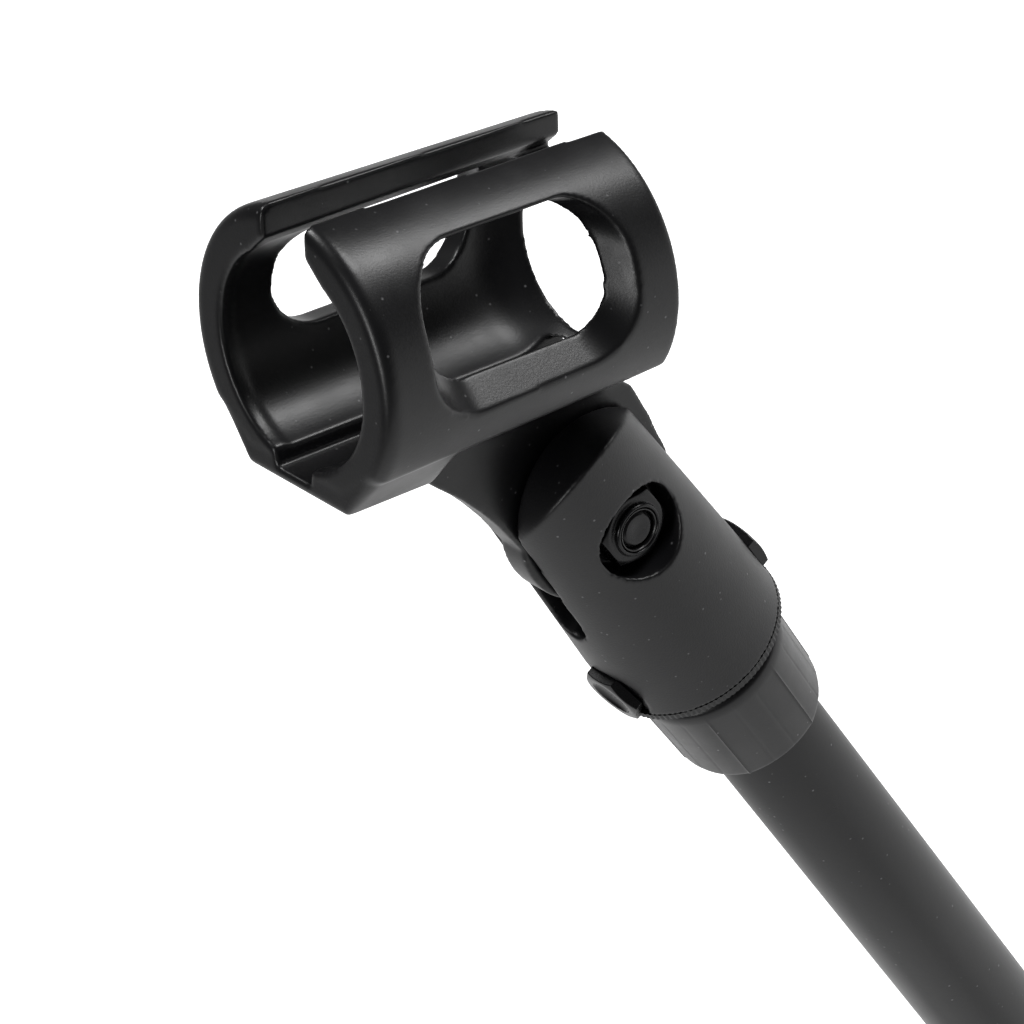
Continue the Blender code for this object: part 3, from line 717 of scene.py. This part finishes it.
def buildScrews():
    face = screw["face"]
    dish = [(0, face - 0.65), (1.8, face - 0.6), (2.6, face - 0.3), (3.1, face + 0.2),
            (0, face + 0.2)]
    shankEnd = screw["seat"] + 0.4
    for side, turn, name, node in ((-1, 0.0, "leftScrew", "insert_screw_left"),
                                   (1, math.pi / 6, "rightScrew", "insert_screw_right")):
        head = newObject(name, hexPrism(screw["flats"], screw["seat"], face, 0.25))
        shank = cylinder(screw["shank"], screw["shankStart"], shankEnd, 64)
        carve(head, [("DIFFERENCE", turnedSolid(dish, 96)), ("UNION", shank)])
        head.data.transform(Matrix.Rotation(turn, 4, "Z"))
        head.data.transform(alongX[side].to_4x4())
        place = Matrix.Translation((0, 0, barrel["screwRise"] * mm))
        install(head, intoBarrel @ place, "swivel", ["blackOxide"], [node], 30)
        softenEdges(head, 0.08, 2, 35)
        head.data.shade_smooth()


buildPivot()
buildScrews()
print("fasteners made")


def sizedLike(node):  # half width, bottom and top of a CAD node
    low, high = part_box(node)
    return (high.x - low.x) / 2 / mm, low.z / mm, high.z / mm


def buildTurnedPieces():
    outer, low, high = sizedLike("stand_tube")
    wall = 1.0
    tube = newObject("standTube", turnedSolid(
        [(outer - wall, low), (outer - 0.3, low), (outer, low + 0.3), (outer, (low + high) / 2),
         (outer, high - 0.35), (outer - 0.1, high - 0.1), (outer - 0.35, high),
         (outer - wall, high)], 192))
    install(tube, Matrix.Identity(4), "stand", ["powderCoat"], ["stand_tube"], 35)

    outer, low, high = sizedLike("thread_insert")
    insert = newObject("barrelInsert", turnedSolid(
        [(8.2, low + 0.3), (8.5, low), (outer - 0.5, low), (outer - 0.1, low + 0.25),
         (outer, low + 0.6), (outer, high), (8.2, high)], 160))
    install(insert, Matrix.Identity(4), "swivel", ["blackOxide"],
            ["thread_insert"], 35)


buildTurnedPieces()

keptNodes = {
    "friction_washer_near": "redFibre", "friction_washer_far": "redFibre",
    "ring_thread_insert": "zincPlate", "threaded_stud": "zincPlate", "stud_pin": "zincPlate",
    "tube_end_plug": "plugPolythene",
}
for nodeName, finish in keptNodes.items():
    node = frame["nodes"][nodeName]
    node.data.materials.clear()
    node.data.materials.append(finishes[finish])
print("turned pieces made")


stage = {
    "cameraPlace": (-0.114293, -0.367451, 0.552168),
    "cameraTurn": (38.5786, 26.7749, -45.5517),
    "lens": 153.4, "floorSize": 6.0, "floorDrop": 0.012,
    "floorGlow": 0.22,
}


def buildCamera():
    camera = bpy.data.objects.new("camera", bpy.data.cameras.new("camera"))
    camera.data.sensor_width = 36.0
    camera.data.lens = stage["lens"]
    camera.data.clip_start = 0.01
    camera.data.clip_end = 20.0
    camera.location = stage["cameraPlace"]
    camera.rotation_euler = Euler([math.radians(a) for a in stage["cameraTurn"]], "XYZ")
    bpy.context.scene.collection.objects.link(camera)
    bpy.context.scene.camera = camera


def buildFloor():
    bm = bmesh.new()
    bmesh.ops.create_grid(bm, x_segments=4, y_segments=4, size=stage["floorSize"] / 2)
    floor = newObject("floor", bm)
    floor.location.z = -stage["floorDrop"]
    material = bpy.data.materials.new("paperSweep")
    material.use_nodes = True
    shader = material.node_tree.nodes["Principled BSDF"]
    shader.inputs["Base Color"].default_value = hexColour("F4F4F4")
    shader.inputs["Roughness"].default_value = 0.9
    shader.inputs["Emission Color"].default_value = hexColour("FFFFFF")
    # white to the camera, dimmer to the reflections in the plastic
    seen = addNode(material, "ShaderNodeLightPath")
    glow = addNode(material, "ShaderNodeMapRange",
                   {"To Min": stage["floorGlow"], "To Max": 1.0},
                   {"Value": seen.outputs["Is Camera Ray"]})
    material.node_tree.links.new(glow.outputs["Result"], shader.inputs["Emission Strength"])
    floor.data.materials.append(material)


def softbox(name, place, target, width, height, power):
    lamp = bpy.data.objects.new(name, bpy.data.lights.new(name, "AREA"))
    lamp.data.shape = "RECTANGLE"
    lamp.data.size = width
    lamp.data.size_y = height
    lamp.data.energy = power
    lamp.location = place
    aim = Vector(target) - Vector(place)
    lamp.rotation_euler = aim.to_track_quat("-Z", "Y").to_euler()
    bpy.context.scene.collection.objects.link(lamp)


def buildLight():
    world = bpy.data.worlds.new("studio")
    world.use_nodes = True
    world.node_tree.nodes["Background"].inputs["Color"].default_value = hexColour("FFFFFF")
    world.node_tree.nodes["Background"].inputs["Strength"].default_value = 0.08
    bpy.context.scene.world = world
    centre = (0, 0, 0.18)
    softbox("keyBox", (-0.75, -0.15, 0.75), centre, 0.16, 0.6, 2.6)
    softbox("topBox", (0.1, 0.45, 1.0), centre, 0.3, 0.2, 3.5)
    softbox("rimBox", (0.8, -0.15, 0.7), centre, 0.2, 0.5, 4.5)


buildCamera()
buildFloor()
buildLight()
bpy.context.scene.view_settings.view_transform = "Standard"
print("stage made")
